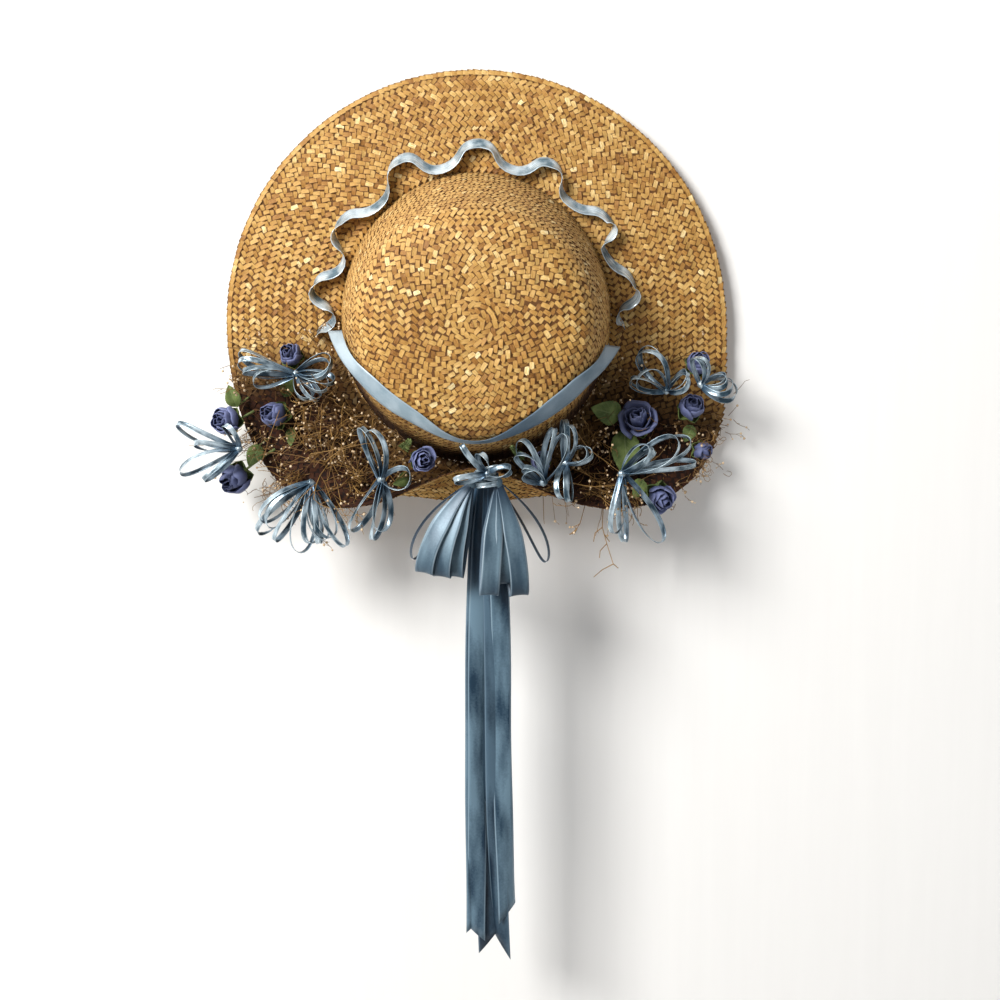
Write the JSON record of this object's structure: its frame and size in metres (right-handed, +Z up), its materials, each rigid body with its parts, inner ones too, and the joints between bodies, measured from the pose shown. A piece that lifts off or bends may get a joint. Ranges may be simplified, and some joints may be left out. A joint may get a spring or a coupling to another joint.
{
  "type": "straw hat",
  "caption": "Wide-brimmed straw hat with a rolled lower brim, satin bow and streamers, ribbon loops, cloth roses and leaves, hung up by its open crown.",
  "frame": {"origin": "the point where the hat hangs: the inner top of the crown's opening, in the plane of the brim", "axes": "+Z up, as the hat hangs; the crown's tip points to -Y and the opening for the head to +Y; +X to the right seen from the front"},
  "size_m": [0.3855, 0.099, 0.617],
  "materials": {
    "straw": "sewn straw plait, golden brown, semi-matt with glossy cells",
    "satin": "dusty blue satin ribbon with a woven edge",
    "narrow_satin": "narrow dusty blue satin ribbon, pale sheen",
    "rose_cloth": "matt blue-violet paper cloth",
    "leaf_cloth": "matt green printed cloth",
    "dried_twig": "dry brown flower stalks",
    "dried_bud": "dry cream flower buds"
  },
  "bodies": {
    "root": {"crown": "straw", "brim": "straw", "crown_ribbon": "satin", "wave_ribbon": "narrow_satin", "bow_knot": "satin", "bow_left": "satin", "bow_right": "satin", "streamer_1": "satin", "streamer_2": "satin", "streamer_3": "satin", "streamer_4": "satin", "streamer_5": "satin", "streamer_6": "satin", "ribbon_loops_1": "narrow_satin", "ribbon_loops_2": "narrow_satin", "ribbon_loops_3": "narrow_satin", "ribbon_loops_4": "narrow_satin", "ribbon_loops_5": "narrow_satin", "ribbon_loops_6": "narrow_satin", "ribbon_loops_7": "narrow_satin", "ribbon_loops_8": "narrow_satin", "ribbon_loops_9": "narrow_satin", "ribbon_loops_10": "narrow_satin", "rose_1": "rose_cloth", "rose_2": "rose_cloth", "rose_3": "rose_cloth", "rose_4": "rose_cloth", "rose_5": "rose_cloth", "rose_6": "rose_cloth", "rose_7": "rose_cloth", "rose_8": "rose_cloth", "rose_9": "rose_cloth", "rose_10": "rose_cloth", "rose_11": "rose_cloth", "leaf_1": "leaf_cloth", "leaf_2": "leaf_cloth", "leaf_3": "leaf_cloth", "leaf_4": "leaf_cloth", "leaf_5": "leaf_cloth", "leaf_6": "leaf_cloth", "leaf_7": "leaf_cloth", "leaf_8": "leaf_cloth", "leaf_9": "leaf_cloth", "fern_1": "leaf_cloth", "fern_2": "leaf_cloth"}
  },
  "joints": []
}
